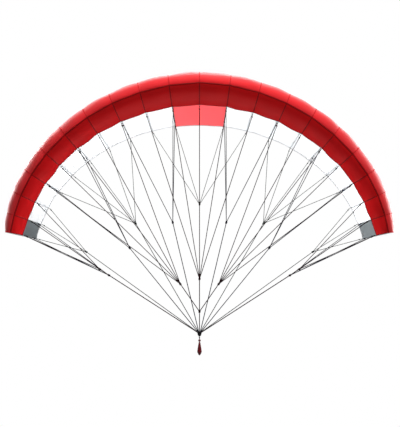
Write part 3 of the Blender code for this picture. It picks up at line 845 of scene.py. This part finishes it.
# Where each main line meets the sleeve's top, in the middle or on the right: x and y
SLEEVE_SEATS = {
    "front_middle": (0.0000, -0.0080),
    "front_outer": (0.0096, -0.0064),
    "mid_1": (0.0038, -0.0034),
    "mid_2": (0.0073, 0.0004),
    "mid_3": (0.0121, 0.0021),
    "brake_middle": (0.0000, 0.0040),
    "brake_inner": (0.0045, 0.0068),
    "brake_outer": (0.0094, 0.0077),
}


def line_tree():
    """Geometry Nodes: a round cord along every path of the input mesh, as thick as its points say."""
    tree = bpy.data.node_groups.new("cords", "GeometryNodeTree")
    add_input(tree, "Paths", "NodeSocketGeometry")
    add_input(tree, "Diameter", "NodeSocketFloat", LINE)
    add_input(tree, "Sides", "NodeSocketInt", 8)
    add_input(tree, "Material", "NodeSocketMaterial")
    given = add_node(tree, "NodeGroupInput").outputs
    paths = add_node(tree, "GeometryNodeMeshToCurve", {"Mesh": given["Paths"]})
    along = add_node(tree, "GeometryNodeSplineParameter").outputs["Length"]
    marked = add_node(tree, "GeometryNodeStoreNamedAttribute", {"Geometry": paths.outputs["Curve"],
                                                                "Name": "along", "Value": along},
                      data_type="FLOAT", domain="POINT")
    radius = add_node(tree, "ShaderNodeMath", {0: given["Diameter"], 1: 0.5}, operation="MULTIPLY")
    ring = add_node(tree, "GeometryNodeCurvePrimitiveCircle", {"Resolution": given["Sides"],
                                                               "Radius": radius.outputs["Value"]})
    around = add_node(tree, "GeometryNodeSplineParameter").outputs["Factor"]
    turned = add_node(tree, "GeometryNodeStoreNamedAttribute", {"Geometry": ring.outputs["Curve"],
                                                                "Name": "around", "Value": around},
                      data_type="FLOAT", domain="POINT")
    factor = add_node(tree, "GeometryNodeInputNamedAttribute", {"Name": "thickness"}, data_type="FLOAT")
    cords = add_node(tree, "GeometryNodeCurveToMesh", {"Curve": marked.outputs["Geometry"],
                                                       "Profile Curve": turned.outputs["Geometry"],
                                                       "Scale": factor.outputs["Attribute"],
                                                       "Fill Caps": True})
    close_tree(tree, cords.outputs["Mesh"], given["Material"])
    return tree


def braid(name, shade, lit):
    """Braided polyester sheath: two sets of strands that cross, dull, with painted shade where they dip."""
    strand_mm = 3.0
    material, tree = new_material(name)
    along = add_node(tree, "ShaderNodeAttribute", attribute_name="along").outputs["Fac"]
    around = add_node(tree, "ShaderNodeAttribute", attribute_name="around").outputs["Fac"]
    pitch = add_node(tree, "ShaderNodeMath", {0: along, 1: 1000 / strand_mm}, operation="MULTIPLY")
    sets = []
    for turns in (2.0, -2.0):
        angle = add_node(tree, "ShaderNodeMath", {0: around, 1: turns, 2: pitch.outputs["Value"]},
                         operation="MULTIPLY_ADD")
        cycle = add_node(tree, "ShaderNodeMath", {0: angle.outputs["Value"], 1: math.tau},
                         operation="MULTIPLY")
        sets.append(add_node(tree, "ShaderNodeMath", {0: cycle.outputs["Value"]}, operation="SINE"))
    over = add_node(tree, "ShaderNodeMath", {0: sets[0].outputs["Value"], 1: sets[1].outputs["Value"]},
                    operation="MULTIPLY")
    height = add_node(tree, "ShaderNodeMapRange", {"Value": over.outputs["Value"], "From Min": -1.0})
    # Colour follows the strands' height: painted shade in the dips and lit colour on the crossings, on top
    # of the real relief from the same height.
    colour = two_colours(tree, height.outputs["Result"], shade, lit)
    bumped_surface(tree, colour, height.outputs["Result"], 0.5, 0.0003,
                   {"Roughness": 0.65, "Specular IOR Level": 0.15})
    return material


def mirrored(point, side):
    """A point given for the right side, on the side asked for."""
    return Vector((point[0] * side, point[1], point[2]))


def tab_foot(rib, tab_name):
    """The middle of a tab's lower edge."""
    for name, front, level in rib_tabs(rib):
        if name == tab_name:
            return rib.place(front + TAB_WIDTH / 2, level - TAB_LENGTH)
    raise ValueError("rib %d has no %s tab" % (rib.number, tab_name))


def coil_round(centre, along, radius, turns, pitch):
    """A few snug turns round a line, as a path."""
    side = along.orthogonal().normalized()
    other = along.cross(side)
    steps = round(turns * HITCH_STEPS)
    path = []
    for step in range(steps + 1):
        turn = math.tau * step / HITCH_STEPS
        rise = (step / steps - 0.5) * turns * pitch
        path.append(centre + (side * math.cos(turn) + other * math.sin(turn)) * radius + along * rise)
    return path


def tie_on(knot, rib, tab_name, diameter):
    """A line from a knot up to a tab: the line, its eye through the tab, and the collar below the eye."""
    foot = tab_foot(rib, tab_name)
    down = (knot - foot).normalized()
    throat = foot + down * EYE_LENGTH
    crest = foot + rib.up * (TAB_LOOP_RADIUS - diameter * EYE_SINK)
    half = rib.back * EYE_HALF_WIDTH
    wide = half * EYE_SPREAD
    drop = down * EYE_SHOULDER
    eye = [throat, foot - wide + drop, crest - half, crest + half, foot + wide + drop, throat]
    collar = coil_round(throat, down, diameter * COLLAR_RADIUS, COLLAR_TURNS, diameter * COLLAR_PITCH)
    return [[knot, throat], eye, collar], [1.0, EYE_THICKNESS, EYE_THICKNESS]


def hitch(knot, along, diameter):
    """The hitch where a fan gathers: snug turns round the lines, and the bight that leads them in."""
    snug = coil_round(knot, along, HITCH_RADIUS, HITCH_TURNS, diameter * HITCH_PITCH)
    bight = coil_round(knot + along * BIGHT_UP, along, BIGHT_RADIUS, BIGHT_TURNS, diameter * BIGHT_PITCH)
    return [snug, bight], [1.0, BIGHT_THICKNESS]


def make_fan(name, knots, ties, stems, diameter, material):
    """One fan: hitches at its knots, ties to its tabs, and its stems, as one piece."""
    paths = []
    factors = []
    for knot, along in knots:
        made, factor = hitch(knot, along.normalized(), diameter)
        paths += made
        factors += factor
    for knot, rib_number, tab_name in ties:
        made, factor = tie_on(knot, RIBS[rib_number], tab_name, diameter)
        paths += made
        factors += factor
    for start, end, stem_diameter in stems:
        paths.append([start, end])
        factors.append(stem_diameter / diameter)
    mesh = path_mesh(name, paths, factors)
    grow(name + "_braid", mesh, CORDS, {"Diameter": diameter, "Material": material}, [name])


CORDS = line_tree()
FRONT_BRAID = braid("front_line_dark_braid", "#150A0C", "#3A1E22")
MID_BRAID = braid("mid_line_blue_black_braid", "#0E1018", "#272C40")
BRAKE_BRAID = braid("brake_line_grey_green_braid", "#1C2420", "#46524C")


def seat(knot_name, side=1):
    """Where a main line meets the sleeve, just inside its top."""
    x, y = SLEEVE_SEATS[knot_name]
    return Vector((x * side, y, SLEEVE_TOP - SEAT_DEPTH))


MIDDLE = Vector(KNOTS["front_middle"])
JOIN = Vector(KNOTS["front_join"])
INNERS = [mirrored(KNOTS["front_inner"], side) for side in (1, -1)]
make_fan("front_lines_middle",
         [(MIDDLE, MIDDLE - JOIN), (JOIN, Vector((0, 0, 1)))] + [(inner, inner - JOIN) for inner in INNERS],
         [(MIDDLE, rib_number, "front") for rib_number in (-2, -1, 0, 1, 2)]
         + [(inner, side * rib_number, "front") for inner, side in zip(INNERS, (1, -1))
            for rib_number in (3, 4, 5, 6, 7)],
         [(MIDDLE, JOIN, MAIN_LINE), (JOIN, seat("front_middle"), MAIN_LINE)]
         + [(inner, JOIN, MAIN_LINE) for inner in INNERS],
         LINE, FRONT_BRAID)

# The fans on both sides: knot, node, the ribs and tabs they tie to, thickness, cord and finish slot
SIDE_FANS = (
    ("front_outer", "front_lines_outer", ((8, "front"), (9, "front"), (10, "front")),
     LINE, FRONT_BRAID, "front_line"),
    ("mid_1", "mid_lines_1", ((1, "middle"), (1, "back"), (3, "middle"), (3, "back")),
     LINE, MID_BRAID, "mid_line"),
    ("mid_2", "mid_lines_2", ((5, "middle"), (5, "back"), (7, "middle"), (7, "back")),
     LINE, MID_BRAID, "mid_line"),
    ("mid_3", "mid_lines_3", ((9, "middle"), (9, "back"), (10, "middle"), (10, "back")),
     LINE, MID_BRAID, "mid_line"),
    ("brake_inner", "brake_lines_inner", tuple((number, "brake") for number in (3, 4, 5, 6, 7)),
     BRAKE_LINE, BRAKE_BRAID, "brake_line"),
    ("brake_outer", "brake_lines_outer", tuple((number, "brake") for number in (8, 9, 10)),
     BRAKE_LINE, BRAKE_BRAID, "brake_line"),
)
for knot_name, node, ties, diameter, material, slot in SIDE_FANS:
    for side, side_name in ((1, "_right"), (-1, "_left")):
        knot = mirrored(KNOTS[knot_name], side)
        stem_end = seat(knot_name, side)
        make_fan(node + side_name, [(knot, knot - stem_end)],
                 [(knot, side * rib_number, tab_name) for rib_number, tab_name in ties],
                 [(knot, stem_end, min(MAIN_LINE, diameter * STEM_FACTOR))], diameter, material)
BRAKE_KNOT = Vector(KNOTS["brake_middle"])
make_fan("brake_lines_middle", [(BRAKE_KNOT, BRAKE_KNOT - seat("brake_middle"))],
         [(BRAKE_KNOT, rib_number, "brake") for rib_number in (-2, -1, 1, 2)],
         [(BRAKE_KNOT, seat("brake_middle"), BRAKE_LINE * STEM_FACTOR)],
         BRAKE_LINE, BRAKE_BRAID)

# Sleeve: a short tube of black webbing that every main line runs into. It is whipped with cord at
# its waist and foot, which draws it into soft pleats.
SLEEVE_BOTTOM = 0.1030
SLEEVE_TOP_RADIUS = 0.0150
SLEEVE_WAIST_RADIUS = 0.0100
SLEEVE_BOTTOM_RADIUS = 0.0050
SLEEVE_PLEATS = 7
SLEEVE_PLEAT_DEPTH = 0.05
SLEEVE_WAIST_AT = 0.45
SLEEVE_FLARE_POWER = 1.3
SLEEVE_ROWS = 20
LIP = 0.0012
WHIPPING = 0.0011
WHIPPING_SINK = 0.3
WHIPPING_PITCH = 1.05
AROUND = 56
MERGE_WITHIN = 0.00001

# Each whipping: its height and its turns
WHIPPINGS = ((0.1120, 4.0), (0.1046, 2.0))


def turned(name, profile, material, slot, replaced, pleats=0):
    """A turned piece from a profile of radius and height, from the top down, with optional pleats."""
    bm = bmesh.new()

    def place(column, row):
        radius, height = profile[row]
        turn = math.tau * column / AROUND
        if pleats:
            radius *= 1 + SLEEVE_PLEAT_DEPTH * math.cos(pleats * turn)
        return Vector((radius * math.sin(turn), radius * math.cos(turn), height)), (turn, height)

    lay_grid(bm, AROUND, len(profile) - 1, place)
    bmesh.ops.remove_doubles(bm, verts=bm.verts, dist=MERGE_WITHIN)
    bmesh.ops.recalc_face_normals(bm, faces=bm.faces)
    mesh = finish_mesh(name, bm)
    mesh.materials.append(material)
    fit_piece(add_object(name, mesh), replaced)


def sleeve_radius(height):
    """The sleeve's outer radius at a height."""
    waist = SLEEVE_BOTTOM + SLEEVE_WAIST_AT * (SLEEVE_TOP - SLEEVE_BOTTOM)
    if height > waist:
        share = (height - waist) / (SLEEVE_TOP - waist)
        return SLEEVE_WAIST_RADIUS + (SLEEVE_TOP_RADIUS - SLEEVE_WAIST_RADIUS) * share ** SLEEVE_FLARE_POWER
    share = (height - SLEEVE_BOTTOM) / (waist - SLEEVE_BOTTOM)
    flare = SLEEVE_WAIST_RADIUS - SLEEVE_BOTTOM_RADIUS
    return SLEEVE_BOTTOM_RADIUS + flare * math.sin(share * math.pi / 2)


def sleeve_profile():
    """The sleeve's outline, from its sunk top over the rolled lip down to its closed foot."""
    sunk = SLEEVE_TOP - 2.5 * LIP
    edge = SLEEVE_TOP - 0.5 * LIP
    profile = [(0.0, sunk), (SLEEVE_TOP_RADIUS - 2 * LIP, sunk),
               (SLEEVE_TOP_RADIUS - 1.6 * LIP, edge), (SLEEVE_TOP_RADIUS - 0.8 * LIP, SLEEVE_TOP)]
    for step in range(SLEEVE_ROWS + 1):
        height = edge - (edge - SLEEVE_BOTTOM) * step / SLEEVE_ROWS
        profile.append((sleeve_radius(height), height))
    return profile + [(0.0, SLEEVE_BOTTOM)]


SLEEVE_WEBBING = plain_finish("black_sleeve_webbing", "#08070A", "#1C1A20", 0.75, noise_mm=1.2)
turned("line_sleeve_webbing", sleeve_profile(), SLEEVE_WEBBING, "sleeve", ["line_sleeve"], SLEEVE_PLEATS)
WHIPPING_CORD = braid("whipping_black_cord", "#0C0C10", "#2C2C34")
DOWN = Vector((0, 0, -1))
wraps = [coil_round(Vector((0, 0, height)), DOWN, sleeve_radius(height) + WHIPPING * WHIPPING_SINK, turns,
                    WHIPPING * WHIPPING_PITCH) for height, turns in WHIPPINGS]
grow("sleeve_whipping", path_mesh("sleeve_whipping", wraps), CORDS,
     {"Diameter": WHIPPING, "Material": WHIPPING_CORD})

# Link, ball and drop: a short black cord with one knot runs from the sleeve into a ball, which sits on
# the drop-shaped hand grip. Both are turned beech with glossy, slightly mottled dark red lacquer.
LINK_RADIUS = 0.0018
LINK_KNOT_Z = 0.0945
LINK_KNOT_RADIUS = 0.0018
LINK_KNOT_TURNS = 2.0
LINK_KNOT_PITCH = 1.6 * LINK_RADIUS
LINK_SUNK = 0.001
BALL_RADIUS = 0.0070
BALL_Z = 0.0800
BALL_HOLE = 0.0021
BALL_HOLE_FOOT = 0.8 * BALL_HOLE
BALL_HOLE_DEPTH = 0.0016
BALL_HOLE_EDGE = 0.0014
BALL_ROWS = 24
NECK_GAP = 0.0003
NECK_INSET = 0.0005
NECK_CHAMFER = 0.0006
DROP_NECK_RADIUS = 0.0040
DROP_RADIUS = 0.0125
DROP_WIDEST_Z = 0.0210
DROP_FLAT_RADIUS = 0.0025
DROP_FLANK_POWER = 1.15
DROP_FOOT_POWER = 1.6
FLANK_ROWS = 30
FOOT_ROWS = 16
LACQUER = plain_finish("dark_red_lacquer", "#5A0410", "#86101E", 0.28, noise_mm=14.0, depth=0.0003,
                       coat=0.7)
link_paths = [[Vector((0, 0, SLEEVE_BOTTOM + LINK_SUNK)), Vector((0, 0, BALL_Z + BALL_RADIUS - LINK_SUNK))],
              coil_round(Vector((0, 0, LINK_KNOT_Z)), DOWN, LINK_KNOT_RADIUS, LINK_KNOT_TURNS,
                         LINK_KNOT_PITCH)]
grow("grip_link_cord", path_mesh("grip_link_cord", link_paths), CORDS,
     {"Diameter": LINK_RADIUS * 2, "Material": WHIPPING_CORD}, ["grip_link"])


def ball_profile():
    """The ball's outline from pole to pole, with the cord's hole sunk in at both."""
    top = BALL_Z + BALL_RADIUS
    foot = BALL_Z - BALL_RADIUS
    first_turn = math.asin(BALL_HOLE / BALL_RADIUS)
    profile = [(0.0, top - BALL_HOLE_DEPTH), (BALL_HOLE_FOOT, top - BALL_HOLE_EDGE)]
    for step in range(BALL_ROWS + 1):
        turn = first_turn + (math.pi - 2 * first_turn) * step / BALL_ROWS
        profile.append((BALL_RADIUS * math.sin(turn), BALL_Z + BALL_RADIUS * math.cos(turn)))
    return profile + [(BALL_HOLE_FOOT, foot + BALL_HOLE_EDGE), (0.0, foot + BALL_HOLE_DEPTH)]


def drop_profile():
    """The drop's outline, from its neck over the widest place down to the small flat at its end."""
    neck = BALL_Z - BALL_RADIUS - NECK_GAP
    chamfer = neck - NECK_CHAMFER
    profile = [(0.0, neck), (DROP_NECK_RADIUS - NECK_INSET, neck), (DROP_NECK_RADIUS, chamfer)]
    for step in range(1, FLANK_ROWS + 1):
        share = step / FLANK_ROWS
        widening = 1 - (1 - share) ** DROP_FLANK_POWER
        profile.append((DROP_NECK_RADIUS + (DROP_RADIUS - DROP_NECK_RADIUS) * widening,
                        chamfer + (DROP_WIDEST_Z - neck + NECK_CHAMFER) * share))
    for step in range(1, FOOT_ROWS + 1):
        share = step / FOOT_ROWS
        narrowing = 1 - share ** DROP_FOOT_POWER
        profile.append((DROP_FLAT_RADIUS + (DROP_RADIUS - DROP_FLAT_RADIUS) * narrowing,
                        DROP_WIDEST_Z * (1 - share)))
    return profile + [(0.0, 0.0)]


turned("grip_ball_lacquered", ball_profile(), LACQUER, "grip", ["grip_ball"])
turned("grip_drop_lacquered", drop_profile(), LACQUER, "grip", ["grip_drop"])

# Stage: a white floor and white surroundings, with large soft lights above, below, in front and beside.
# A small one beside each tip shines through its cloth.
FLOOR_SIZE = 60.0
bm = bmesh.new()
bmesh.ops.create_grid(bm, x_segments=1, y_segments=1, size=FLOOR_SIZE / 2)
floor = add_object("floor", finish_mesh("floor", bm))
paint = bpy.data.materials.new("white_floor_paint")
paint.use_nodes = True
shader = paint.node_tree.nodes["Principled BSDF"]
shader.inputs["Base Color"].default_value = linear("#000000")
shader.inputs["Specular IOR Level"].default_value = 0.0
shader.inputs["Emission Color"].default_value = linear("#FFFFFF")
shader.inputs["Emission Strength"].default_value = 1.0
floor.data.materials.append(paint)
floor.visible_diffuse = False
floor.visible_glossy = False
floor.visible_transmission = False
floor.visible_shadow = False

ROOM_LIGHT = 0.08
world = bpy.data.worlds.new("white_surroundings")
world.use_nodes = True
nodes = world.node_tree
seen = add_node(nodes, "ShaderNodeLightPath").outputs["Is Camera Ray"]
strength = add_node(nodes, "ShaderNodeMapRange", {"Value": seen, "To Min": ROOM_LIGHT, "To Max": 1.0})
surround = nodes.nodes["Background"]
surround.inputs["Color"].default_value = linear("#FFFFFF")
nodes.links.new(strength.outputs["Result"], surround.inputs["Strength"])
bpy.context.scene.world = world
bpy.context.scene.view_settings.view_transform = "Standard"

# Each light: its name, place, what it points at, width and power in watts
LIGHTS = (
    ("top_front", (0.4, -1.5, 4.3), (0.1, -0.1, 1.4), 2.4, 125.0),
    ("top_rear", (0.0, 1.8, 4.2), (0.0, 0.4, 1.4), 2.4, 122.0),
    ("front_left", (-1.2, -2.2, 3.8), (-0.5, 0.0, 1.3), 2.0, 25.0),
    ("front_right", (3.0, -1.8, 1.8), (0.9, 0.0, 0.9), 2.0, 25.0),
    ("front_low", (-1.2, -2.9, -0.8), (0, 0, 1.2), 2.0, 10.0),
    ("below", (0.2, 2.0, -3.0), (0, 0, 1.2), 4.0, 110.0),
    ("side_left", (-3.4, 2.6, 2.0), (-0.6, 0.2, 1.1), 2.8, 92.0),
    ("side_right", (3.6, 2.2, 1.9), (0.6, 0.2, 1.1), 2.8, 62.0),
    ("tip_left", (-1.9, 0.8, 1.5), (-1.0, 0.3, 1.0), 1.0, 13.0),
    ("tip_right", (2.1, 0.7, 0.8), (1.0, 0.2, 0.7), 1.0, 26.0),
)
for name, place, aim, size, power in LIGHTS:
    light = bpy.data.lights.new(name, "AREA")
    light.shape = "DISK"
    light.size = size
    light.energy = power
    lamp = add_object(name, light)
    lamp.location = place
    lamp.rotation_euler = (Vector(aim) - Vector(place)).to_track_quat("-Z", "Y").to_euler()

# Camera: in front of the wing and low, tipped up a little, so that the nose shows from below.
CAMERA_PLACE = (0.0028, -2.6977, 0.4235)
CAMERA_PITCH_DEG = 7.72
CAMERA_LENS_MM = 40.0
SENSOR_MM = 36.0
camera_data = bpy.data.cameras.new("camera")
camera_data.lens = CAMERA_LENS_MM
camera_data.sensor_width = SENSOR_MM
camera = add_object("camera", camera_data)
camera.location = CAMERA_PLACE
camera.rotation_euler = (math.radians(90 + CAMERA_PITCH_DEG), 0, 0)
bpy.context.scene.camera = camera
